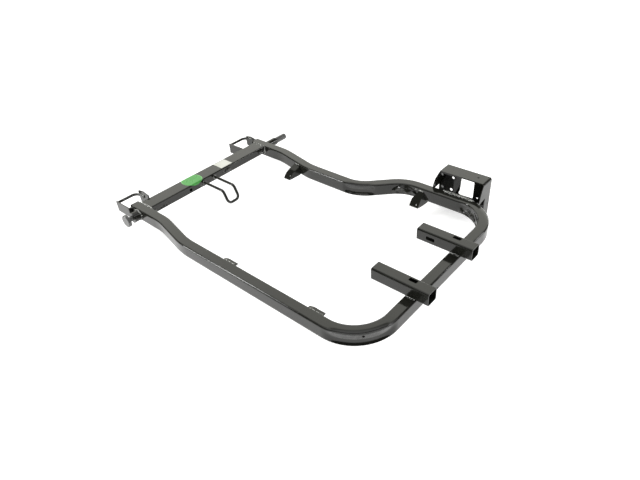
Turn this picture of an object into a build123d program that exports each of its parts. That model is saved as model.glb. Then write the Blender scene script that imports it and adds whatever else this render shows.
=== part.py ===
"""Pivoting tubular receiver frame.

A bent rectangular tube with a flat cross tube near its open end, two coaxial pivot pins
there, two square receiver stubs on its closed end, and small welded brackets.

Origin: on the pivot axis, midway between the rail stubs. +X runs to the closed end,
+Y from the near rail to the far rail, +Z up. Millimetres.
"""
import os
from math import cos, radians, sin

from build123d import *

os.makedirs("parts", exist_ok=True)

# ---- perimeter tube ---------------------------------------------------------------------
TUBE_W = 35.0            # across, in plan
TUBE_H = 45.0            # tall
TUBE_WALL = 2.5
TUBE_CORNER = 5.0        # outside corner radius of the section
OPEN_END_X = -44.0
STUB_Y = 291.0           # centre line of both rail stubs
BEND_START_X = 100.0     # where both rails start to swing away from the stubs
BEND_ANGLE = 12.2
NEAR_BEND_R = 260.0
NEAR_RAIL_Y = -324.0
FAR_BEND_R = 230.0
FAR_MID_Y = 255.0        # far rail between its two bends
FAR_RAIL_Y = 373.0
STEP_START_X = 468.0     # the far rail's big outward step
STEP_ANGLE = 43.0
STEP_R = 125.0
CORNER_R = 123.0         # centre line radius of both closed-end corners
END_X = 984.5            # centre line of the closed end
VENT_D = 7.0             # drain holes for the coating: one in the closed end's outer face,
VENT_YZ = (-12.0, -14.0)
CORNER_VENT = (-43.0, 13.0)  # and one in the near corner: angle round the bend, and Z
RELIEF_X = (601.0, 693.0)  # shallow relief under the near rail's outer edge
RELIEF_DEPTH = 2.0

TOP = TUBE_H / 2
HALF_W = TUBE_W / 2
CORNER_X = END_X - CORNER_R
RAIL_OUT_Y = STUB_Y + HALF_W
RAIL_IN_Y = STUB_Y - HALF_W

# ---- cross tube -------------------------------------------------------------------------
CROSS_W = 60.0
CROSS_H = 30.0
CROSS_WALL = 2.0
CROSS_CORNER = 4.0
CROSS_MID_Z = TOP - CROSS_H / 2
CROSS_FACE_X = CROSS_W / 2
CROSS_PORT = (-103.0, 6.0)  # Y and Z of the round port in its front face
CROSS_PORT_D = 12.0

# ---- receivers --------------------------------------------------------------------------
RECEIVER = 40.0
RECEIVER_WALL = 2.0
RECEIVER_CORNER = 6.0
RECEIVER_X = (859.0, 1039.0)
RECEIVER_Y = {"near": -104.0, "far": 123.0}
SLOT_CORNER = 3.0
TOP_SLOT = (25.0, 12.5)
TOP_SLOT_X = 977.0
TOP_SLOT_SHIFT = 6.0     # the slot sits off the receiver's centre line
SIDE_SLOT = (28.0, 12.0)
SIDE_SLOT_XZ = (905.0, 42.0)

# ---- pivots: distances along Y are from the middle of the frame ---------------------------
SHANK_R = 7.0
RUNNING_GAP = 0.05       # radial, between shank and sleeve
WALL_HOLE_R = 7.4
GROOVE_R = 6.0
RING_T = 1.2
RING_R = 9.0
WASHER_T = 2.0
WASHER_R = 12.0
END_FLOAT = 0.2
SHANK_TAIL = 5.0         # shank beyond the ring
PIVOTS = {
    "near": {"side": -1, "sleeve_r": 18.5, "sleeve_end": 335.0, "pin_r": 8.75, "pin_end": 351.4},
    "far": {"side": 1, "sleeve_r": 15.0, "sleeve_end": 362.0, "pin_r": 12.0, "pin_end": 421.0},
}
NEAR_HEAD_R = 22.0
NEAR_HEAD_T = 10.6
NEAR_HEAD_CHAMFER = 1.5
FAR_TIP_R = 6.0

# ---- corner bracket: the front edges of its side plates are in Y and Z --------------------
SHEET = 3.0
BRACKET_X = (744.0, 907.0)
BRACKET_Y = (427.5, 481.0)
BRACKET_Z = (-72.0, 67.0)
BRACKET_BEND = 8.0       # outside radius of the fold between top and right side plate
BRACKET_LEFT_EDGE = [(427.5, 67), (396, 51), (385, 31), (383, 20), (391, 17), (426.5, 19.5), (426.5, -72)]
BRACKET_RIGHT_EDGE = [
    (427.5, 67), (414, 37), (406, 8), (380, 3), (380, -8), (416, -1), (446, 5), (446, -72),
]
BRACKET_REACH = 370.0    # Y that no side plate reaches
BRACKET_FLOOR = [(386, 19), (480, -43), (480, -46.5), (386, 15.5)]
BRACKET_FLOOR_X = (780.0, 900.0)
BRACKET_WINDOW = [(800, 32), (849, 32), (849, -35), (791.5, -37), (798, -18)]
WINDOW_CORNER = 6.0
BRACKET_HOLES = [(769.0, 22.0, 5.0), (765.0, -27.0, 5.5), (865.0, -27.0, 3.5)]  # X, Z, radius
BRACKET_TOP_HOLE = (871.0, 456.0, 3.5)   # X, Y, radius
BRACKET_SIDE_HOLE = (471.0, -27.0, 2.5)  # Y, Z, radius

# ---- lugs on the far rail, also drawn in Y and Z ------------------------------------------
LUG_FRONT_X = (220.0, 250.0)
LUG_FRONT_RIDGE = [(258, 16), (218, 5), (200.5, -2.7), (187, -17.3)]
LUG_FRONT_FOOT = [(190, -20.5), (240, -24), (248, -22.5), (258, -22)]
LUG_FRONT_RELIEF = (243.0, 197.0)
LUG_REAR_X = (692.6, 727.5)
LUG_REAR_RIDGE = [(360, 17), (338.3, -12.4), (321.8, -34.7)]
LUG_REAR_FOOT = [(330, -39.5), (357.7, -43.5), (386, -45), (386, -20)]
LUG_REAR_RELIEF = (717.0, 327.0)
LUG_REAR_NOTCH = [(692, 335), (711, 357), (711, 365), (692, 365)]  # X and Y
LUG_DROP = 3.8           # sheet thickness measured straight down a slope
RELIEF_R = 2.0

# ---- tabs on the near rail: drawn in X and Z, from the tab's low end ----------------------
TABS = {"near_rail_tab_1": (446.0, 503.0), "near_rail_tab_2": (786.0, 842.0)}
TAB_Y = (-308.0, -296.0)
TAB_RAMP = 17.0
TAB_TOP = 19.5
TAB_LOW = 14.0

# ---- straps and ear plates behind the pivots ----------------------------------------------
STRAP = 4.0
STRAP_Z = (11.0, 20.0)
STRAP_END_X = -106.5     # centre line of the cross run
STRAP_BEND = 20.0
STRAP_FOOT_BEND = 4.0
STRAP_TIP_X = -60.0
STRAP_FOOT_X = -98.0     # where the strap widens into its plate
STRAP_PLATE_X = -108.5
STRAP_PLATE_Z = (-17.0, 23.0)
NEAR_STRAP_Y = (-323.0, -243.8)
NEAR_STRAP_FOOT = [(-30.0, -323.0), (-22.5, -306.0)]
FAR_STRAP_Y = (207.3, 291.0)
EAR_NEAR_Y = -241.8
EAR_NEAR = [(-90, -17), (-93, 32), (-62, 37), (-30, 31), (-30, -17)]
EAR_FAR_Y = 293.0
EAR_FAR = [(-101, -17), (-103, 22.5), (-74, 27.5), (-44, 22.5), (-44, -17)]
EAR_CORNER = 5.0

# ---- rod loop ---------------------------------------------------------------------------
ROD_R = 5.0
ROD_Z = 7.5
ROD_Y = (-40.0, 10.0)
ROD_KNEE_X = 136.0
ROD_TOE_X = 157.0
ROD_TOE_Z = -39.0
ROD_BEND = 16.0

# ---- stickers ---------------------------------------------------------------------------
STICKER_T = 0.3
LABEL_X = (-25.0, 25.0)
LABEL_Y = (51.0, 104.0)
ROUND_STICKER_Y = -72.0
WRAP_BALL_R = 47.9       # a ball of this size meets the tube's top in the sticker's circle
WRAP_BALL_Z = 50.6       # and its sides in the turned-down rim


def save(builder, name):
    """Label a finished sub-part and write its file."""
    builder.part.label = name
    export_step(builder.part, f"parts/{name}.step")


def box_between(x, y, z, mode=Mode.ADD):
    """A box from (low, high) pairs."""
    with Locations(((x[0] + x[1]) / 2, (y[0] + y[1]) / 2, (z[0] + z[1]) / 2)):
        Box(x[1] - x[0], y[1] - y[0], z[1] - z[0], mode=mode)


def hollow_rectangle(width, height, wall, corner):
    """A hollow tube section with rounded corners."""
    RectangleRounded(width, height, corner)
    inside = corner - 0.8 * wall
    RectangleRounded(width - 2 * wall, height - 2 * wall, inside, mode=Mode.SUBTRACT)


def swing(start, radius, angle, shift):
    """Shift a line that runs along +X sideways: an arc, a straight and the arc undone."""
    turn = radians(angle)
    straight = (abs(shift) - 2 * radius * (1 - cos(turn))) / sin(turn)
    sign = 1 if shift > 0 else -1
    first = JernArc(start, (1, 0), radius, sign * angle)
    middle = Line(first @ 1, first @ 1 + (first % 1) * straight)
    return JernArc(middle @ 1, middle % 1, radius, -sign * angle)


def half_ring(side, inner_r, outer_r, y0, y1):
    """Half the section of a turned ring or disc about the Y axis."""
    low, high = sorted((side * y0, side * y1))
    with Locations(((inner_r + outer_r) / 2, (low + high) / 2)):
        Rectangle(outer_r - inner_r, high - low)


# The tube's centre line: both rails run from their open stubs to the closed end.
with BuildLine() as centre_line:
    near_stub = Line((OPEN_END_X, -STUB_Y), (BEND_START_X, -STUB_Y))
    near_swing = swing(near_stub @ 1, NEAR_BEND_R, BEND_ANGLE, NEAR_RAIL_Y + STUB_Y)
    near_rail = Line(near_swing @ 1, (CORNER_X, NEAR_RAIL_Y))
    near_corner = JernArc(near_rail @ 1, (1, 0), CORNER_R, 90)
    far_stub = Line((OPEN_END_X, STUB_Y), (BEND_START_X, STUB_Y))
    far_swing = swing(far_stub @ 1, FAR_BEND_R, BEND_ANGLE, FAR_MID_Y - STUB_Y)
    far_mid = Line(far_swing @ 1, (STEP_START_X, FAR_MID_Y))
    far_step = swing(far_mid @ 1, STEP_R, STEP_ANGLE, FAR_RAIL_Y - FAR_MID_Y)
    far_rail = Line(far_step @ 1, (CORNER_X, FAR_RAIL_Y))
    far_corner = JernArc(far_rail @ 1, (1, 0), CORNER_R, -90)
    Line(near_corner @ 1, far_corner @ 1)

open_end = Plane(origin=(OPEN_END_X, -STUB_Y, 0), x_dir=(0, 1, 0), z_dir=(1, 0, 0))
vent_angle, corner_vent_z = CORNER_VENT
vent_out = Vector(cos(radians(vent_angle)), sin(radians(vent_angle)), 0)
near_corner_centre = Vector(CORNER_X, NEAR_RAIL_Y + CORNER_R, corner_vent_z)
vents = [
    Plane(origin=(END_X + HALF_W, *VENT_YZ), z_dir=(1, 0, 0)),
    Plane(origin=near_corner_centre + vent_out * (CORNER_R + HALF_W), z_dir=vent_out),
]

# The tube without its hollow, used only to trim the sheet pieces that meet it.
with BuildPart() as tube_envelope:
    with BuildSketch(open_end):
        RectangleRounded(TUBE_W, TUBE_H, TUBE_CORNER)
    sweep(path=centre_line.line)

with BuildPart() as perimeter_tube:
    with BuildSketch(open_end):
        hollow_rectangle(TUBE_W, TUBE_H, TUBE_WALL, TUBE_CORNER)
    sweep(path=centre_line.line)
    with Locations((0, -RAIL_OUT_Y, 0), (0, RAIL_OUT_Y, 0)):
        Cylinder(WALL_HOLE_R, 3 * TUBE_WALL, rotation=(90, 0, 0), mode=Mode.SUBTRACT)
    for vent in vents:
        with BuildSketch(vent):
            Circle(VENT_D / 2)
        extrude(amount=2 * TUBE_WALL, both=True, mode=Mode.SUBTRACT)
    relief_y = NEAR_RAIL_Y - HALF_W
    box_between(RELIEF_X, (relief_y, relief_y + RELIEF_DEPTH), (-TOP, -TOP + RELIEF_DEPTH), Mode.SUBTRACT)
save(perimeter_tube, "perimeter_tube")

with BuildPart() as cross_tube:
    with BuildSketch(Plane.XZ.offset(RAIL_IN_Y)):
        with Locations((0, CROSS_MID_Z)):
            hollow_rectangle(CROSS_W, CROSS_H, CROSS_WALL, CROSS_CORNER)
    extrude(amount=-2 * RAIL_IN_Y)
    with Locations((CROSS_FACE_X, *CROSS_PORT)):
        Cylinder(CROSS_PORT_D / 2, 3 * CROSS_WALL, rotation=(0, 90, 0), mode=Mode.SUBTRACT)
save(cross_tube, "cross_tube")

for name, y in RECEIVER_Y.items():
    with BuildPart() as receiver:
        with BuildSketch(Plane.YZ.offset(RECEIVER_X[0])):
            with Locations((y, TOP + RECEIVER / 2)):
                hollow_rectangle(RECEIVER, RECEIVER, RECEIVER_WALL, RECEIVER_CORNER)
        extrude(amount=RECEIVER_X[1] - RECEIVER_X[0])
        with BuildSketch(Plane.XY.offset(TOP + RECEIVER)):
            with Locations((TOP_SLOT_X, y + TOP_SLOT_SHIFT)):
                RectangleRounded(*TOP_SLOT, SLOT_CORNER)
        extrude(amount=-2 * RECEIVER_WALL, mode=Mode.SUBTRACT)
        if name == "far":
            with BuildSketch(Plane.XZ.offset(RECEIVER / 2 - y)):
                with Locations(SIDE_SLOT_XZ):
                    RectangleRounded(*SIDE_SLOT, SLOT_CORNER)
            extrude(amount=-2 * RECEIVER_WALL, mode=Mode.SUBTRACT)
    save(receiver, f"receiver_{name}")

# ---- pivots: each turned piece is drawn as half its section -------------------------------
for name, pivot in PIVOTS.items():
    side = pivot["side"]
    washer_out = RAIL_OUT_Y - TUBE_WALL - END_FLOAT
    washer_in = washer_out - WASHER_T
    ring_in = washer_in - RING_T
    shoulder = pivot["sleeve_end"] + END_FLOAT

    with BuildPart() as sleeve:
        with BuildSketch():
            half_ring(side, SHANK_R + RUNNING_GAP, pivot["sleeve_r"], RAIL_OUT_Y, pivot["sleeve_end"])
        revolve(axis=Axis.Y)
    save(sleeve, f"pivot_sleeve_{name}")

    with BuildPart() as pin:
        with BuildSketch():
            half_ring(side, 0, SHANK_R, ring_in - SHANK_TAIL, ring_in)
            half_ring(side, 0, GROOVE_R, ring_in, washer_in)
            half_ring(side, 0, SHANK_R, washer_in, shoulder)
            half_ring(side, 0, pivot["pin_r"], shoulder, pivot["pin_end"])
            if name == "near":
                half_ring(side, 0, NEAR_HEAD_R, pivot["pin_end"], pivot["pin_end"] + NEAR_HEAD_T)
        revolve(axis=Axis.Y)
        rims = pin.edges().filter_by(GeomType.CIRCLE).sort_by(Axis.Y)
        if name == "near":
            chamfer(rims.first, NEAR_HEAD_CHAMFER)
        else:
            fillet(rims.last, FAR_TIP_R)
    save(pin, f"pivot_pin_{name}")

    with BuildPart() as washer:
        with BuildSketch():
            half_ring(side, SHANK_R + RUNNING_GAP, WASHER_R, washer_in, washer_out)
        revolve(axis=Axis.Y)
    save(washer, f"thrust_washer_{name}")

    with BuildPart() as ring:
        with BuildSketch():
            half_ring(side, GROOVE_R + RUNNING_GAP, RING_R, ring_in, washer_in)
        revolve(axis=Axis.Y)
        with Locations((0, side * ring_in, -RING_R)):
            Box(RING_R * 0.6, 4 * RING_T, 2 * RING_R, mode=Mode.SUBTRACT)
    save(ring, f"retaining_ring_{name}")

# ---- corner bracket: a folded box outside the far rail, open towards it -------------------
with BuildPart() as corner_bracket:
    left, right = BRACKET_X
    front, back = BRACKET_Y
    foot, top = BRACKET_Z
    with BuildSketch(Plane.XZ.offset(-back)) as face_outline:
        Polygon((left, foot), (right, foot), (right, top), (left, top), align=None)
        fillet(face_outline.vertices().sort_by_distance((right, back, top))[:1], BRACKET_BEND)
    extrude(amount=back - BRACKET_REACH)
    with BuildSketch(Plane.XZ.offset(SHEET - back)) as hollow:
        inner_left, inner_right = left + SHEET, right - SHEET
        inner_top = top - SHEET
        open_foot = foot - 1
        low_corners = [(inner_left, open_foot), (inner_right, open_foot)]
        Polygon(*low_corners, (inner_right, inner_top), (inner_left, inner_top), align=None)
        fillet(hollow.vertices().sort_by_distance((inner_right, back, inner_top))[:1], BRACKET_BEND - SHEET)
    extrude(amount=back - BRACKET_REACH, mode=Mode.SUBTRACT)
    middle = (left + right) / 2
    for start, edge_line in ((left - 1, BRACKET_LEFT_EDGE), (middle, BRACKET_RIGHT_EDGE)):
        with BuildSketch(Plane.YZ.offset(start)):
            above = (front, top + 1)
            below = (edge_line[-1][0], open_foot)
            clear = BRACKET_REACH - 1
            Polygon(above, *edge_line, below, (clear, open_foot), (clear, top + 1), align=None)
        extrude(amount=middle - left + 1, mode=Mode.SUBTRACT)
    # The floor slopes from the rail's outer edge down to the back plate, under the window.
    with BuildSketch(Plane.YZ.offset(BRACKET_FLOOR_X[0])):
        Polygon(*BRACKET_FLOOR, align=None)
    extrude(amount=BRACKET_FLOOR_X[1] - BRACKET_FLOOR_X[0])
    add(tube_envelope.part, mode=Mode.SUBTRACT)
    with BuildSketch(Plane.XZ.offset(SHEET - back)) as cutouts:
        Polygon(*BRACKET_WINDOW, align=None)
        fillet(cutouts.vertices(), WINDOW_CORNER)
        for x, z, radius in BRACKET_HOLES:
            with Locations((x, z)):
                Circle(radius)
    extrude(amount=-SHEET, mode=Mode.SUBTRACT)
    with Locations((BRACKET_TOP_HOLE[0], BRACKET_TOP_HOLE[1], top)):
        Cylinder(BRACKET_TOP_HOLE[2], 3 * SHEET, mode=Mode.SUBTRACT)
    with Locations((right, BRACKET_SIDE_HOLE[0], BRACKET_SIDE_HOLE[1])):
        Cylinder(BRACKET_SIDE_HOLE[2], 3 * SHEET, rotation=(0, 90, 0), mode=Mode.SUBTRACT)
save(corner_bracket, "corner_bracket")


def sheet_lug(name, x_span, ridge, foot, relief, notch=None):
    """A sheet strip that follows the ridge line, with a flange down its +X side."""
    with BuildPart() as lug:
        with BuildSketch(Plane.YZ.offset(x_span[0])):
            Polygon(*ridge, *[(y, z - LUG_DROP) for y, z in reversed(ridge)], align=None)
        extrude(amount=x_span[1] - x_span[0])
        if notch:
            with BuildSketch(Plane.XY.offset(-TUBE_H)):
                Polygon(*notch, align=None)
            extrude(amount=2 * TUBE_H, mode=Mode.SUBTRACT)
        with BuildSketch(Plane.YZ.offset(x_span[1])):
            Polygon(*ridge, *foot, align=None)
        extrude(amount=-SHEET)
        add(tube_envelope.part, mode=Mode.SUBTRACT)
        with Locations((*relief, 0)):
            Cylinder(RELIEF_R, 2 * TUBE_H, mode=Mode.SUBTRACT)
    save(lug, name)


sheet_lug("lug_front", LUG_FRONT_X, LUG_FRONT_RIDGE, LUG_FRONT_FOOT, LUG_FRONT_RELIEF)
sheet_lug("lug_rear", LUG_REAR_X, LUG_REAR_RIDGE, LUG_REAR_FOOT, LUG_REAR_RELIEF, LUG_REAR_NOTCH)

for name, (x0, x1) in TABS.items():
    ramp = [(x0, TAB_LOW), (x0 + TAB_RAMP, TAB_TOP), (x1, TAB_TOP)]
    with BuildPart() as tab:
        with BuildSketch(Plane.XZ.offset(-TAB_Y[0])):
            Polygon(*ramp, *[(x, z - LUG_DROP) for x, z in reversed(ramp)], align=None)
        extrude(amount=TAB_Y[0] - TAB_Y[1])
        add(tube_envelope.part, mode=Mode.SUBTRACT)
    save(tab, name)

with BuildPart() as rod_loop:
    with BuildLine() as rod_path:
        near_y, far_y = ROD_Y
        FilletPolyline(
            (CROSS_FACE_X, near_y, ROD_Z), (ROD_KNEE_X, near_y, ROD_Z), (ROD_TOE_X, near_y, ROD_TOE_Z),
            (ROD_TOE_X, far_y, ROD_TOE_Z), (ROD_KNEE_X, far_y, ROD_Z), (CROSS_FACE_X, far_y, ROD_Z),
            radius=ROD_BEND,
        )
    with BuildSketch(Plane(origin=(CROSS_FACE_X, near_y, ROD_Z), z_dir=(1, 0, 0))):
        Circle(ROD_R)
    sweep(path=rod_path.line)
save(rod_loop, "rod_loop")


# ---- strap loops: flat straps on edge, bent along a plan line -----------------------------
strap_runs = {}
for name, (plate_y, tip_y) in (("near", NEAR_STRAP_Y), ("far", FAR_STRAP_Y)):
    bend_y = tip_y - STRAP_BEND
    strap_runs[name] = [
        ([(STRAP_FOOT_X, plate_y), (STRAP_END_X, plate_y), (STRAP_END_X, bend_y)], STRAP_FOOT_BEND, STRAP_Z),
        ([(STRAP_END_X, bend_y - 1), (STRAP_END_X, tip_y), (STRAP_TIP_X, tip_y)], STRAP_BEND, STRAP_Z),
    ]
near_plate = [(STRAP_PLATE_X, NEAR_STRAP_Y[0]), *NEAR_STRAP_FOOT]
far_plate = [(STRAP_PLATE_X, FAR_STRAP_Y[0]), (-CROSS_FACE_X, FAR_STRAP_Y[0])]
strap_runs["near"].append((near_plate, STRAP_FOOT_BEND, STRAP_PLATE_Z))
strap_runs["far"].append((far_plate, 0, STRAP_PLATE_Z))

for name, runs in strap_runs.items():
    with BuildPart() as strap_loop:
        for points, bend, (low, high) in runs:
            with BuildSketch(Plane.XY.offset(low)):
                with BuildLine():
                    if bend:
                        FilletPolyline(*points, radius=bend)
                    else:
                        Polyline(*points)
                trace(line_width=STRAP)
            extrude(amount=high - low)
        add(tube_envelope.part, mode=Mode.SUBTRACT)
    save(strap_loop, f"strap_loop_{name}")

for name, y, points in (("near", EAR_NEAR_Y, EAR_NEAR), ("far", EAR_FAR_Y, EAR_FAR)):
    with BuildPart() as ear_plate:
        with BuildSketch(Plane.XZ.offset(-y)) as ear_outline:
            Polygon(*points, align=None)
            fillet(ear_outline.vertices().sort_by(Axis.X)[:3], EAR_CORNER)
        extrude(amount=-STRAP)
    save(ear_plate, f"ear_plate_{name}")

# ---- stickers on the cross tube -----------------------------------------------------------
with BuildPart() as blank_label:
    box_between(LABEL_X, LABEL_Y, (TOP, TOP + STICKER_T))
save(blank_label, "blank_label")

with BuildPart() as round_sticker:
    with BuildSketch(Plane.XZ.offset(RAIL_IN_Y)):
        with Locations((0, CROSS_MID_Z)):
            film = 2 * STICKER_T
            RectangleRounded(CROSS_W + film, CROSS_H + film, CROSS_CORNER + STICKER_T)
            RectangleRounded(CROSS_W, CROSS_H, CROSS_CORNER, mode=Mode.SUBTRACT)
    extrude(amount=-2 * RAIL_IN_Y)
    with Locations((0, ROUND_STICKER_Y, WRAP_BALL_Z)):
        Sphere(WRAP_BALL_R, mode=Mode.INTERSECT)
save(round_sticker, "round_sticker")
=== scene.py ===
"""Looks for the pivoting tubular receiver frame: paint, weld beads, stickers, floor, light and camera."""
import math
import random

import bmesh
import bpy
from mathutils import Matrix, Vector, noise as field


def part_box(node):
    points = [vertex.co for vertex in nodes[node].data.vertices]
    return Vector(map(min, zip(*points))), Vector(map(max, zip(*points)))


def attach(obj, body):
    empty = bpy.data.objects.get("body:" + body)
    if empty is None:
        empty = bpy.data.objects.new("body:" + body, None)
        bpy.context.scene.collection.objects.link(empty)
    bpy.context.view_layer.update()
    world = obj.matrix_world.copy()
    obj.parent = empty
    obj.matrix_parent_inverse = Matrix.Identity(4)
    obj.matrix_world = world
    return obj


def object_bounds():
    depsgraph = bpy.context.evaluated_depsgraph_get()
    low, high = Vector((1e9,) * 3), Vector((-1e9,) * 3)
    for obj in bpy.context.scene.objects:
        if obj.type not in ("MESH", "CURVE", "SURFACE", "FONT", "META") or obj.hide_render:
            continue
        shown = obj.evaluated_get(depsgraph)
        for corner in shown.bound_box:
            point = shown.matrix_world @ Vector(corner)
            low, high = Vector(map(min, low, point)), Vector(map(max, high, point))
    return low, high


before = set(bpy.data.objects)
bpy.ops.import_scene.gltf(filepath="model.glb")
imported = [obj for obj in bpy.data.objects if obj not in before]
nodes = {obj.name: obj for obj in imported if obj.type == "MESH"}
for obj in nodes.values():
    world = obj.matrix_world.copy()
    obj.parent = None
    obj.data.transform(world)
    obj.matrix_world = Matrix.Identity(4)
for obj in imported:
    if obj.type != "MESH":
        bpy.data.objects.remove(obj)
cad_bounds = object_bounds()

# ---- camera ---------------------------------------------------------------------------------
CAMERA_AT = (1.5229, -1.0061, 0.9925)
CAMERA_YAW = 133.7514     # heading in plan, from +X towards +Y
CAMERA_PITCH = 36.8274    # down
CAMERA_ROLL = -4.6755
CAMERA_LENS = 29.904      # on a 36 mm sensor

# ---- finish ---------------------------------------------------------------------------------
PAINT = (0.0120, 0.0124, 0.0098, 1.0)
PAINT_IOR = 1.50
LUG_SHADE_IOR = 1.32            # lower than real paint: painted shade, which keeps the lugs' reflections dark as if shaded
PAINT_ROUGHNESS = 0.06
PEEL_DEPTH = 0.000002     # orange peel, metres
WAVE_DEPTH = 0.00008      # slow waviness, metres
RIPPLE_SCALE = 44.0       # ripples of a crushed bend, per metre
EDGE_SOFT_FROM = 0.0145   # the perimeter tube's sides roll over from this height from its middle
EDGE_SOFT_DROP = 0.0016   # and drop this far at its top and bottom
TOP_DROP = 0.0044         # bump height lost by a sunk bend's top at its outer edge
SIDE_SAG = 0.0200         # bump height of the hollow in a sunk bend's outer wall
SAG_FLAT = 0.0030         # half height of the hollow's flat bottom
PIN_COAT = (0.085, 0.086, 0.084, 1.0)
WELD_PAINT = (0.020, 0.021, 0.018, 1.0)
# a painted glint: the bright weld metal stands in for gloss highlights on painted-over beads
WELD_GLINT_METAL = (0.62, 0.63, 0.60, 1.0)
ZINC = (0.55, 0.56, 0.57, 1.0)
SPRING = (0.10, 0.10, 0.11, 1.0)
LABEL = (0.73, 0.74, 0.68, 1.0)
LABEL_AGED = (0.66, 0.67, 0.60, 1.0)
GREEN = (0.050, 0.34, 0.045, 1.0)
GREEN_WORN = (0.065, 0.37, 0.06, 1.0)
# the rim colour below is a painted highlight: a lighter green ring where the sticker's edge catches light
GREEN_RIM_HIGHLIGHT = (0.36, 0.80, 0.33, 1.0)
STICKER_HIGHLIGHT_RIM = 0.0025      # width of the sticker's rim with its painted highlight

# ---- uneven places in the tube walls -----------------------------------------------------------
# These are bump only, in metres. The heights were set to be seen, and are not measured.
# ripples on the tight side of two bends of the perimeter tube: middle, reach, height
DENTS = [
    ((0.655, 0.345, -0.014), 0.054, 0.024),
    ((0.903, 0.347, -0.008), 0.050, 0.028),
]

# small dents in the cross tube's front face: middle, reach, height
CROSS_DENTS = [
    ((0.0175, -0.225, -0.008), 0.026, 0.012),
    ((0.0175, 0.075, 0.006), 0.022, 0.012),
    ((0.0175, 0.245, 0.002), 0.016, 0.012),
]

# bends whose outer wall has sunk in: centre, radius of the tube's middle, and the middle and
# reach of the place where it shows
BENDS = [
    ((0.8615, -0.201, 0.0), 0.123, ((0.935, -0.275, 0.0), 0.094)),
    ((0.8615, 0.250, 0.0), 0.123, ((0.930, 0.338, 0.0), 0.078)),
    ((0.468, 0.380, 0.0), 0.125, ((0.522, 0.264, 0.0), 0.062)),
]

# ---- weld beads: metres ----------------------------------------------------------------------
BEAD_R = 0.0030
RECEIVER_BEAD_R = 0.0036
PLATE_BEAD_R = 0.0026
SMALL_BEAD_R = 0.0024
TAB_BEAD_R = 0.0012
BEAD_RIPPLE = 0.0036      # pitch of the ripples
BEAD_STEP = 0.0009        # spacing of the bead's rings
BEAD_SIDES = 10
BEAD_WANDER = 0.00035     # how far a bead strays from its seam
BEAD_OFF = 0.0004         # how far a bead's middle stands off the face it runs on
SPATTER_R = (0.0006, 0.0015)

# ---- sizes of the joints that the beads follow, in metres --------------------------------------
TUBE_W = 0.035            # width of the perimeter tube in plan
TUBE_TOP = 0.0225         # Z of the perimeter tube's top
RAIL_IN_Y = 0.2735        # the stubs' faces beside the cross tube
RAIL_OUT_Y = 0.3085       # the stubs' faces under the pivot sleeves
FAR_CORNER = (0.8615, 0.250)
CORNER_OUT_R = 0.1405
FAR_SLANT = (0.1486, 0.2858, -0.2162)  # X, Y and slope of the far rail's centre line by the front lug
END_TUBE_X = (0.967, 1.002)  # the closed end's faces
FAR_RAIL_IN_Y = 0.3555
NEAR_RAIL_IN_Y = -0.3065
ROD_R = 0.0050
ROD_Z = 0.0075            # where the rod meets the cross tube
BRACKET_SEAM_X = 0.781    # where the bracket's floor seam starts
BRACKET_SEAM_STEP = 0.0098  # spacing of that seam's points
BACK_SEAM_Z = (-0.0065, 0.0205)  # ends of the upright beads on the cross tube's back
FAR_STRAP_FACES_Y = (0.2053, 0.2093)  # both faces of the far strap's plate


def look_matrix(at, yaw, pitch, roll):
    """Camera matrix from a heading, a downward pitch and a roll, in degrees."""
    yaw, pitch, roll = (math.radians(v) for v in (yaw, pitch, roll))
    forward = Vector((math.cos(yaw) * math.cos(pitch), math.sin(yaw) * math.cos(pitch), -math.sin(pitch)))
    right = forward.cross(Vector((0, 0, 1))).normalized()
    up = right.cross(forward)
    x_axis = math.cos(roll) * right + math.sin(roll) * up
    y_axis = -math.sin(roll) * right + math.cos(roll) * up
    matrix = Matrix((x_axis, y_axis, -forward)).transposed().to_4x4()
    matrix.translation = Vector(at)
    return matrix


# ---- node materials --------------------------------------------------------------------------
def new_material(name):
    """An empty node material: returns it with its node tree, shader and position source."""
    material = bpy.data.materials.new(name)
    material.use_nodes = True
    tree = material.node_tree
    shader = tree.nodes["Principled BSDF"]
    place = tree.nodes.new("ShaderNodeTexCoord")
    return material, tree, shader, place.outputs["Object"]


def grey(v):
    """An opaque grey."""
    return (v, v, v, 1.0)


def noise(tree, where, scale, detail=3.0, rough=0.55):
    """A noise texture's value in the shared frame; scale is per metre."""
    node = tree.nodes.new("ShaderNodeTexNoise")
    node.inputs["Scale"].default_value = scale
    node.inputs["Detail"].default_value = detail
    node.inputs["Roughness"].default_value = rough
    tree.links.new(where, node.inputs["Vector"])
    return node.outputs["Fac"]


def ramp(tree, value, stops):
    """A colour ramp through (position, colour) stops."""
    node = tree.nodes.new("ShaderNodeValToRGB")
    elements = node.color_ramp.elements
    while len(elements) < len(stops):
        elements.new(0.5)
    for element, (position, colour) in zip(elements, stops):
        element.position = position
        element.color = colour
    tree.links.new(value, node.inputs["Fac"])
    return node.outputs["Color"]


def distance(tree, where, centre, stretch=(1.0, 1.0, 1.0)):
    """Distance in metres from a point of the shared frame, with each axis stretched."""
    scaled = tree.nodes.new("ShaderNodeMapping")
    scaled.inputs["Scale"].default_value = stretch
    scaled.inputs["Location"].default_value = [-c * s for c, s in zip(centre, stretch)]
    tree.links.new(where, scaled.inputs["Vector"])
    node = tree.nodes.new("ShaderNodeVectorMath")
    node.operation = "LENGTH"
    tree.links.new(scaled.outputs["Vector"], node.inputs[0])
    return node.outputs["Value"]


def combine(tree, operation, a, b=None):
    """A value through a math node, alone or with another value or a plain number."""
    node = tree.nodes.new("ShaderNodeMath")
    node.operation = operation
    tree.links.new(a, node.inputs[0])
    if isinstance(b, float):
        node.inputs[1].default_value = b
    elif b is not None:
        tree.links.new(b, node.inputs[1])
    return node.outputs["Value"]


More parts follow.
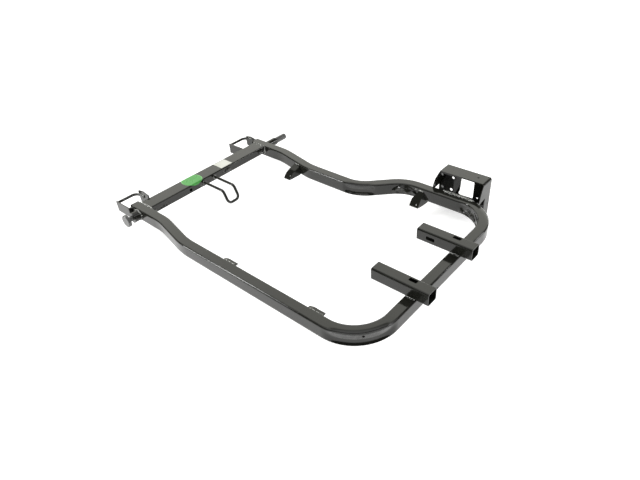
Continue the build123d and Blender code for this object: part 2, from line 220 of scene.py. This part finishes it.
def fade(tree, value, start, end):
    """1 up to start, easing to 0 at end."""
    span = tree.nodes.new("ShaderNodeMapRange")
    span.interpolation_type = "SMOOTHERSTEP"
    span.inputs["From Min"].default_value = start
    span.inputs["From Max"].default_value = end
    span.inputs["To Min"].default_value = 1.0
    span.inputs["To Max"].default_value = 0.0
    tree.links.new(value, span.inputs["Value"])
    return span.outputs["Result"]


def edge_drop(tree, value, start, end, depth):
    """A height that falls off more and more steeply from start to end of a value."""
    span = tree.nodes.new("ShaderNodeMapRange")
    span.inputs["From Min"].default_value = start
    span.inputs["From Max"].default_value = end
    tree.links.new(value, span.inputs["Value"])
    return combine(tree, "MULTIPLY", combine(tree, "POWER", span.outputs["Result"], 2.0), -depth)


def collapsed_bend(tree, where, height_z, centre, radius, reach):
    """Height of a bend whose outer wall has sunk in: the top slopes to it, and its middle is hollow."""
    from_centre = distance(tree, where, centre, (1.0, 1.0, 0.0))
    top_drop = edge_drop(tree, from_centre, radius + 0.001, radius + TUBE_W / 2, TOP_DROP)
    side_rise = edge_drop(tree, height_z, SAG_FLAT, TUBE_TOP, -SIDE_SAG)
    drops = combine(tree, "ADD", top_drop, combine(tree, "SUBTRACT", side_rise, SIDE_SAG))
    middle, extent = reach
    inside = fade(tree, distance(tree, where, middle), extent * 0.45, extent * 1.08)
    return combine(tree, "MULTIPLY", drops, inside)


def bump(tree, shader, layers):
    """Chained bumps from (height, metres) layers, into the shader's normal."""
    last = None
    for height, depth in layers:
        node = tree.nodes.new("ShaderNodeBump")
        node.inputs["Strength"].default_value = 1.0
        node.inputs["Distance"].default_value = depth
        tree.links.new(height, node.inputs["Height"])
        if last is not None:
            tree.links.new(last, node.inputs["Normal"])
        last = node.outputs["Normal"]
    tree.links.new(last, shader.inputs["Normal"])


def dents(tree, where, centre, reach):
    """Height of ripples like those on the tight side of a tube bend, fading out at reach."""
    near = fade(tree, distance(tree, where, centre, (1.0, 1.0, 1.6)), reach * 0.5, reach)
    squeezed = tree.nodes.new("ShaderNodeMapping")
    squeezed.inputs["Scale"].default_value = (1.0, 1.0, 1.3)
    tree.links.new(where, squeezed.inputs["Vector"])
    ripples = noise(tree, squeezed.outputs["Vector"], RIPPLE_SCALE, detail=0.5)
    return combine(tree, "MULTIPLY", ripples, near)


def paint_material(name, base=PAINT, ior=PAINT_IOR, roughness=PAINT_ROUGHNESS, peel=PEEL_DEPTH,
                   dent_places=(), bends=()):
    """Glossy sprayed paint: orange peel, slow waviness, and a finish that is duller in patches."""
    material, tree, shader, where = new_material(name)
    shader.inputs["IOR"].default_value = ior
    tint = noise(tree, where, 9.0)
    light = tuple(min(1.0, c * 1.4 + 0.002) for c in base[:3]) + (1.0,)
    tree.links.new(ramp(tree, tint, [(0.35, base), (0.75, light)]), shader.inputs["Base Color"])
    haze = noise(tree, where, 34.0, detail=6.0, rough=0.7)
    gloss = ramp(tree, haze, [(0.35, grey(roughness)), (0.8, grey(roughness + 0.10))])
    tree.links.new(gloss, shader.inputs["Roughness"])
    layers = [
        (noise(tree, where, 18.0, detail=1.0), WAVE_DEPTH),
        (noise(tree, where, 620.0, detail=1.0), peel),
    ]
    for centre, reach, depth in dent_places:
        layers.append((dents(tree, where, centre, reach), depth))
    if bends:
        split = tree.nodes.new("ShaderNodeSeparateXYZ")
        tree.links.new(where, split.inputs["Vector"])
        height_z = combine(tree, "ABSOLUTE", split.outputs["Z"])
        layers.append((edge_drop(tree, height_z, EDGE_SOFT_FROM, TUBE_TOP, EDGE_SOFT_DROP), 1.0))
        for centre, radius, reach in bends:
            layers.append((collapsed_bend(tree, where, height_z, centre, radius, reach), 1.0))
    bump(tree, shader, layers)
    return material


def metal_material(name, base, roughness):
    """Plated or bare steel with fine lathe marks."""
    material, tree, shader, where = new_material(name)
    shader.inputs["Metallic"].default_value = 1.0
    patches = noise(tree, where, 160.0, detail=4.0)
    dull = tuple(c * 0.72 for c in base[:3]) + (1.0,)
    tree.links.new(ramp(tree, patches, [(0.3, dull), (0.7, base)]), shader.inputs["Base Color"])
    gloss = ramp(tree, patches, [(0.3, grey(roughness + 0.14)), (0.7, grey(roughness))])
    tree.links.new(gloss, shader.inputs["Roughness"])
    bump(tree, shader, [(noise(tree, where, 900.0, detail=2.0), 0.00003)])
    return material


def weld_material():
    """Thin paint over weld metal, with bright metal specks that are painted glints in place of the gloss
    highlights on the painted beads.
    """
    material, tree, shader, where = new_material("paint_over_weld")
    shader.inputs["IOR"].default_value = PAINT_IOR
    # painted glints: bright metal specks stand in for the beads' gloss highlights
    glint_flecks = noise(tree, where, 240.0, detail=3.0, rough=0.6)
    tree.links.new(ramp(tree, glint_flecks, [(0.46, WELD_PAINT), (0.60, WELD_GLINT_METAL)]), shader.inputs["Base Color"])
    tree.links.new(ramp(tree, glint_flecks, [(0.46, grey(0.10)), (0.60, grey(0.38))]), shader.inputs["Roughness"])
    tree.links.new(ramp(tree, glint_flecks, [(0.50, grey(0.0)), (0.62, grey(0.8))]), shader.inputs["Metallic"])
    bump(tree, shader, [(noise(tree, where, 420.0, detail=2.0), 0.0006)])
    return material


def label_material():
    """A blank paper label: off-white, slightly aged towards its worn patches, with paper grain."""
    material, tree, shader, where = new_material("label_paper")
    aged = noise(tree, where, 30.0, detail=5.0)
    tree.links.new(ramp(tree, aged, [(0.4, LABEL), (0.8, LABEL_AGED)]), shader.inputs["Base Color"])
    tree.links.new(ramp(tree, aged, [(0.3, grey(0.36)), (0.8, grey(0.55))]), shader.inputs["Roughness"])
    bump(tree, shader, [(noise(tree, where, 900.0, detail=3.0), 0.00003)])
    return material


def sticker_material(middle, outer_r):
    """A plain green film sticker with a painted highlight along its rim, centred on a point of the tube's
    top.
    """
    material, tree, shader, where = new_material("sticker_film")
    from_middle = distance(tree, where, middle, (1.0, 1.0, 0.0))
    # painted highlight: a lighter ring along the sticker's rim
    stops = [(outer_r - STICKER_HIGHLIGHT_RIM * 1.4, grey(0.0)), (outer_r - STICKER_HIGHLIGHT_RIM, grey(1.0))]
    rim_highlight_mask = ramp(tree, from_middle, stops)
    worn = noise(tree, where, 28.0, detail=2.0)
    body = ramp(tree, worn, [(0.35, GREEN), (0.75, GREEN_WORN)])
    rim_highlight_colour = ramp(tree, worn, [(0.35, GREEN_RIM_HIGHLIGHT), (0.75, GREEN_WORN)])
    mix = tree.nodes.new("ShaderNodeMix")
    mix.data_type = "RGBA"
    tree.links.new(rim_highlight_mask, mix.inputs["Factor"])
    tree.links.new(body, mix.inputs["A"])
    tree.links.new(rim_highlight_colour, mix.inputs["B"])
    tree.links.new(mix.outputs["Result"], shader.inputs["Base Color"])
    tree.links.new(ramp(tree, worn, [(0.3, grey(0.22)), (0.8, grey(0.36))]), shader.inputs["Roughness"])
    bump(tree, shader, [(noise(tree, where, 60.0, detail=2.0), 0.00012)])
    return material


sticker_low, sticker_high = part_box("round_sticker")
sticker_middle = (0.0, (sticker_low.y + sticker_high.y) / 2, TUBE_TOP)
sticker_r = (sticker_high.y - sticker_low.y) / 2

paint = paint_material("paint_gloss_black")
tube_paint = paint_material("paint_gloss_black_tube", dent_places=DENTS, bends=BENDS)
cross_paint = paint_material("paint_gloss_black_cross", dent_places=CROSS_DENTS)
# painted shade: the lugs get a less reflective copy of the paint, to keep them dark
lug_shaded_paint = paint_material("paint_black_lug_painted_shade", ior=LUG_SHADE_IOR)
weld_paint = weld_material()
pin_paint = paint_material("pin_coating", base=PIN_COAT, roughness=0.24, peel=0.00001)
SLOTS = {
    "perimeter_tube": tube_paint,
    "cross_tube": cross_paint,
    "lug_front": lug_shaded_paint,
    "lug_rear": lug_shaded_paint,
    "blank_label": label_material(),
    "round_sticker": sticker_material(sticker_middle, sticker_r),
}
zinc = metal_material("washer_zinc", ZINC, 0.28)
spring = metal_material("spring_steel", SPRING, 0.34)
for end in ("near", "far"):
    SLOTS[f"pivot_pin_{end}"] = pin_paint
    SLOTS[f"thrust_washer_{end}"] = zinc
    SLOTS[f"retaining_ring_{end}"] = spring
for name in nodes:
    slots = nodes[name].data.materials
    slots.clear()
    slots.append(SLOTS.get(name, paint))


# ---- weld beads ------------------------------------------------------------------------------
def resample(points, step):
    """Points spaced evenly along a polyline."""
    marks = [0.0]
    for a, b in zip(points, points[1:]):
        marks.append(marks[-1] + (b - a).length)
    count = max(4, round(marks[-1] / step))
    leg = 0
    spaced = []
    for i in range(count + 1):
        place = marks[-1] * i / count
        while leg < len(marks) - 2 and place > marks[leg + 1]:
            leg += 1
        share = (place - marks[leg]) / (marks[leg + 1] - marks[leg])
        spaced.append(points[leg].lerp(points[leg + 1], share))
    return spaced, marks[-1]


def path_normal(points):
    """A direction square to a path: its plane's normal, or any where it is straight."""
    total = Vector()
    for a, b, c in zip(points, points[1:], points[2:]):
        total += (b - a).cross(c - b)
    first = points[1] - points[0]
    return total.normalized() if total.length > 1e-9 else first.orthogonal().normalized()


def weld_bead(name, paths, radius=BEAD_R):
    """A rippled bead of weld metal along each path, with rounded ends, as one piece."""
    seed = random.Random(name)
    bm = bmesh.new()
    for path in paths:
        points = [Vector(p) for p in path]
        across = path_normal(points)
        shift = Vector([seed.uniform(-50, 50) for _ in range(3)])
        centres, length = resample(points, BEAD_STEP)
        last = len(centres) - 1
        rings = []
        for i, centre in enumerate(centres):
            travel = length * i / last
            along = (centres[min(i + 1, last)] - centres[max(i - 1, 0)]).normalized()
            side = along.cross(across).normalized()
            up = side.cross(along)
            from_end = min(travel, length - travel) / radius
            taper = math.sqrt(max(0.04, 1 - max(0.0, 1 - from_end) ** 2))
            ripple = 0.88 + 0.17 * abs(math.sin(math.pi * travel / BEAD_RIPPLE))
            size = radius * taper * ripple * (1 + 0.16 * field.noise(centre * 130 + shift))
            stray = BEAD_WANDER * field.noise(centre * 90 - shift)
            ring = []
            for k in range(BEAD_SIDES):
                turn = 2 * math.pi * k / BEAD_SIDES
                out = math.cos(turn) * side + math.sin(turn) * up
                ring.append(bm.verts.new(centre + side * stray + out * size))
            rings.append(ring)
        for ring, after in zip(rings, rings[1:]):
            for k in range(BEAD_SIDES):
                turn = (k + 1) % BEAD_SIDES
                bm.faces.new((ring[k], ring[turn], after[turn], after[k]))
        bm.faces.new(rings[0][::-1])
        bm.faces.new(rings[-1])
    bmesh.ops.recalc_face_normals(bm, faces=bm.faces)
    return piece(name, bm)


def piece(name, bm):
    """Turns a bmesh into a smooth piece of painted weld metal that rides on the frame."""
    mesh = bpy.data.meshes.new(name)
    bm.to_mesh(mesh)
    bm.free()
    mesh.shade_smooth()
    mesh.materials.append(weld_paint)
    obj = bpy.data.objects.new(name, mesh)
    bpy.context.scene.collection.objects.link(obj)
    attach(obj, "frame")
    return obj


def spatter(name, spots, spread, count):
    """Small drops of weld metal on flat faces: a spot is a middle and the face's two directions."""
    seed = random.Random(name)
    bm = bmesh.new()
    for middle, first, second in spots:
        for _ in range(count):
            place = Vector(middle)
            place += Vector(first) * seed.gauss(0, spread) + Vector(second) * seed.gauss(0, spread * 0.5)
            radius = seed.uniform(*SPATTER_R)
            squash = Matrix.Diagonal([radius * seed.uniform(0.7, 1.3) for _ in range(3)] + [1.0])
            here = Matrix.Translation(place) @ squash
            made = bmesh.ops.create_icosphere(bm, subdivisions=2, radius=1.0, matrix=here)
            for vert in made["verts"]:
                vert.co += (vert.co - place) * 0.25 * field.noise(vert.co * 900)
    return piece(name, bm)


def loop_xz(x0, x1, z0, z1, y):
    """A closed rectangle in X and Z."""
    return [(x0, y, z0), (x1, y, z0), (x1, y, z1), (x0, y, z1), (x0, y, z0)]


def circle(centre, radius, first, second, start=0.0):
    """A closed circle about a point, in the plane of two directions."""
    ring = []
    for k in range(33):
        turn = start + 2 * math.pi * k / 32
        offset = math.cos(turn) * Vector(first) + math.sin(turn) * Vector(second)
        ring.append(Vector(centre) + offset * radius)
    return ring


def upright(x, y, z0, z1):
    """A vertical run."""
    return [(x, y, z0), (x, y, z1)]


def corner_outer_y(x):
    """Y of the far rail's outer face, along the rail and round its corner."""
    past = max(0.0, x - FAR_CORNER[0])
    return FAR_CORNER[1] + math.sqrt(CORNER_OUT_R ** 2 - past ** 2)


# ---- the beads themselves ---------------------------------------------------------------------
cross_low, cross_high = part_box("cross_tube")
for end, side in (("near", -1), ("far", 1)):
    seam_y = side * (RAIL_IN_Y - BEAD_OFF)
    ring = loop_xz(cross_low.x, cross_high.x, cross_low.z, cross_high.z - 0.0016, seam_y)
    weld_bead(f"weld_cross_tube_{end}", [ring])
    tack = [(cross_high.x + 0.001, side * 0.268, 0.002), (cross_high.x + 0.001, side * 0.252, 0.0005)]
    weld_bead(f"weld_tack_cross_tube_{end}", [tack], radius=SMALL_BEAD_R)

for end in ("near", "far"):
    low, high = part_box(f"receiver_{end}")
    x0, x1 = END_TUBE_X
    runs = []
    run_z = TUBE_TOP + 0.0012
    for y in (low.y, high.y):
        run_y = y + math.copysign(0.0022, (low.y + high.y) / 2 - y)
        runs.append([(x0 + 0.002, run_y, run_z), (x1 - 0.003, run_y, run_z)])
    for x in (x0 - 0.0002, x1 + 0.0002):
        runs.append([(x, low.y + 0.005, TUBE_TOP - 0.001), (x, high.y - 0.005, TUBE_TOP - 0.001)])
    weld_bead(f"weld_receiver_{end}", runs, radius=RECEIVER_BEAD_R)

floor_run = []
for k in range(13):
    x = BRACKET_SEAM_X + BRACKET_SEAM_STEP * k
    floor_run.append((x, corner_outer_y(x) - 0.0028, TUBE_TOP - 0.0018))
inner_run = [(x, y - 0.0062, z + 0.0022) for x, y, z in floor_run[1:-1]]
weld_bead("weld_bracket_floor", [floor_run, inner_run], radius=0.0040)
left_runs = [[(x, 0.3830, 0.0205), (x, 0.3905, 0.0172)] for x in (0.7432, 0.7478)]
weld_bead("weld_bracket_left", left_runs, radius=PLATE_BEAD_R)
right_y = corner_outer_y(0.9055) + 0.0006
right_runs = [upright(x, right_y, -0.008, 0.003) for x in (0.9078, 0.9032)]
weld_bead("weld_bracket_right", right_runs, radius=PLATE_BEAD_R)

x_mid, y_mid, slope = FAR_SLANT
front_run = []
for x in (0.221, 0.249):
    face_y = y_mid + slope * (x - x_mid) - TUBE_W / 2 * math.hypot(1, slope)
    front_run.append((x, face_y - BEAD_OFF, 0.0150))
weld_bead("weld_lug_front", [front_run], radius=PLATE_BEAD_R)
low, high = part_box("lug_rear")
rear_run = [(x, FAR_RAIL_IN_Y - BEAD_OFF, 0.0128) for x in (low.x + 0.001, high.x - 0.001)]
weld_bead("weld_lug_rear", [rear_run], radius=PLATE_BEAD_R)

rod_low, rod_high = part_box("rod_loop")
rod_rings = []
for y in (rod_low.y + ROD_R, rod_high.y - ROD_R):
    rod_rings.append(circle((cross_high.x + BEAD_OFF, y, ROD_Z), ROD_R + 0.0008, (0, 1, 0), (0, 0, 1)))
weld_bead("weld_rod_loop", rod_rings, radius=SMALL_BEAD_R)

for end, side in (("near", -1), ("far", 1)):
    low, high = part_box(f"pivot_sleeve_{end}")
    sleeve_r = (high.z - low.z) / 2
    seam = circle((0, side * (RAIL_OUT_Y + 0.0006), 0), sleeve_r + BEAD_OFF, (1, 0, 0), (0, 0, 1))
    weld_bead(f"weld_pivot_sleeve_{end}", [seam])


def strap_seam(ear_y):
    """The run over the top and the end of a strap's tip, where it lies against its ear plate."""
    corners = ((-0.086, 0.0208), (-0.060, 0.0208), (-0.0592, 0.0108))
    return [(x, ear_y - 0.0008, z) for x, z in corners]


cross_back_x = cross_low.x - 0.0006
low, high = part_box("ear_plate_near")
ear_runs = [upright(cross_back_x, y, *BACK_SEAM_Z) for y in (low.y, high.y)]
weld_bead("weld_ear_near", ear_runs, radius=PLATE_BEAD_R)
strap_runs = [upright(-0.0218, -(RAIL_OUT_Y + 0.0008), -0.0150, 0.0190), strap_seam(low.y)]
weld_bead("weld_strap_near", strap_runs, radius=SMALL_BEAD_R)
low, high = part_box("ear_plate_far")
ear_runs = [upright(high.x, y, -0.0150, 0.0195) for y in (low.y, high.y)]
weld_bead("weld_ear_far", ear_runs, radius=PLATE_BEAD_R)
strap_runs = [upright(cross_back_x, y, *BACK_SEAM_Z) for y in FAR_STRAP_FACES_Y]
weld_bead("weld_strap_far", strap_runs + [strap_seam(low.y)], radius=SMALL_BEAD_R)

for name in ("near_rail_tab_1", "near_rail_tab_2"):
    low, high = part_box(name)
    stations = ((low.x + 0.001, 0.0148), (low.x + 0.017, 0.0200), (high.x - 0.001, 0.0202))
    run = [(x, NEAR_RAIL_IN_Y + 0.0002, z) for x, z in stations]
    weld_bead(f"weld_{name}", [run], radius=TAB_BEAD_R)

front_x = cross_high.x + 0.0002
front_places = ((-0.256, 0.004), (0.252, 0.004), (0.060, 0.007), (-0.042, 0.000))
front_spots = [((front_x, y, z), (0, 1, 0), (0, 0, 1)) for y, z in front_places]
spatter("spatter_cross_tube", front_spots, 0.009, 14)
spatter("spatter_bracket", [((0.85, 0.386, TUBE_TOP - 0.0006), (1, 0, 0), (0, 1, 0))], 0.024, 18)

# ---- stage -----------------------------------------------------------------------------------
FLOOR_GREY = 0.80
FLOOR_GLOW = 0.66         # keeps the floor near white without strong lights
floor_mesh = bpy.data.meshes.new("floor")
bm = bmesh.new()
bmesh.ops.create_grid(bm, x_segments=1, y_segments=1, size=14.0)
bm.to_mesh(floor_mesh)
bm.free()
floor = bpy.data.objects.new("floor", floor_mesh)
floor.location = (0.5, 0.1, cad_bounds[0][2] - 0.0005)
bpy.context.scene.collection.objects.link(floor)
floor_material, tree, shader, where = new_material("floor_pale")
shader.inputs["Base Color"].default_value = grey(FLOOR_GREY)
shader.inputs["Roughness"].default_value = 1.0
shader.inputs["Specular IOR Level"].default_value = 0.0
shader.inputs["Emission Color"].default_value = grey(1.0)
shader.inputs["Emission Strength"].default_value = FLOOR_GLOW
floor_mesh.materials.append(floor_material)

PANEL = (-0.695, 0.719, 0.0)   # level direction of the bright wall that the top faces mirror
BRIGHT = (1.0, 1.0, 0.93, 1.0)
DIM = grey(0.045)
STUDIO_STRENGTH = 1.55
LIGHTS_AIM = Vector((0.45, 0.05, 0.0))
world = bpy.data.worlds.new("studio")
bpy.context.scene.world = world
world.use_nodes = True
tree = world.node_tree
background = tree.nodes["Background"]
direction = tree.nodes.new("ShaderNodeTexCoord")
towards = tree.nodes.new("ShaderNodeVectorMath")
towards.operation = "DOT_PRODUCT"
towards.inputs[1].default_value = PANEL
tree.links.new(direction.outputs["Generated"], towards.inputs[0])
panel = ramp(tree, towards.outputs["Value"], [(0.0, DIM), (0.50, DIM), (0.61, BRIGHT), (1.0, BRIGHT)])
split = tree.nodes.new("ShaderNodeSeparateXYZ")
tree.links.new(direction.outputs["Generated"], split.inputs["Vector"])
overhead = ramp(tree, split.outputs["Z"], [(0.80, grey(0.0)), (0.95, grey(0.8))])
sky = tree.nodes.new("ShaderNodeMix")
sky.data_type = "RGBA"
sky.blend_type = "LIGHTEN"
sky.inputs["Factor"].default_value = 1.0
tree.links.new(panel, sky.inputs["A"])
tree.links.new(overhead, sky.inputs["B"])
tree.links.new(sky.outputs["Result"], background.inputs["Color"])
background.inputs["Strength"].default_value = STUDIO_STRENGTH


def softbox(name, azimuth, elevation, reach, size, radiance):
    """A rectangular area light at an angle in plan and a height in degrees, facing the part."""
    turn, lift = math.radians(azimuth), math.radians(elevation)
    away = Vector((math.cos(turn) * math.cos(lift), math.sin(turn) * math.cos(lift), math.sin(lift)))
    data = bpy.data.lights.new(name, "AREA")
    data.shape = "RECTANGLE"
    data.size, data.size_y = size
    data.energy = radiance * math.pi * size[0] * size[1]
    light = bpy.data.objects.new(name, data)
    light.location = LIGHTS_AIM + away * reach
    light.rotation_euler = (-away).to_track_quat("-Z", "Y").to_euler()
    bpy.context.scene.collection.objects.link(light)


# name, angle in plan, height in degrees, distance, size in metres, radiance
LIGHTS = [
    ("strip_left", -148.0, 48.0, 3.3, (0.8, 0.7), 17.0),
    ("strip_low", -133.0, 22.0, 3.2, (0.8, 0.5), 26.0),
    ("strip_right", 2.0, 20.0, 3.2, (0.5, 0.4), 14.0),
    ("strip_back", 46.0, 22.0, 3.0, (0.6, 0.4), 14.0),
    ("softbox_front", -62.0, 58.0, 2.6, (1.8, 1.2), 0.6),
    ("softbox_right", 20.0, 48.0, 3.0, (1.6, 1.0), 1.5),
]
for light in LIGHTS:
    softbox(*light)

camera_data = bpy.data.cameras.new("camera")
camera_data.sensor_width = 36.0
camera_data.lens = CAMERA_LENS
camera = bpy.data.objects.new("camera", camera_data)
camera.matrix_world = look_matrix(CAMERA_AT, CAMERA_YAW, CAMERA_PITCH, CAMERA_ROLL)
bpy.context.scene.collection.objects.link(camera)
bpy.context.scene.camera = camera
bpy.context.scene.view_settings.view_transform = "Standard"
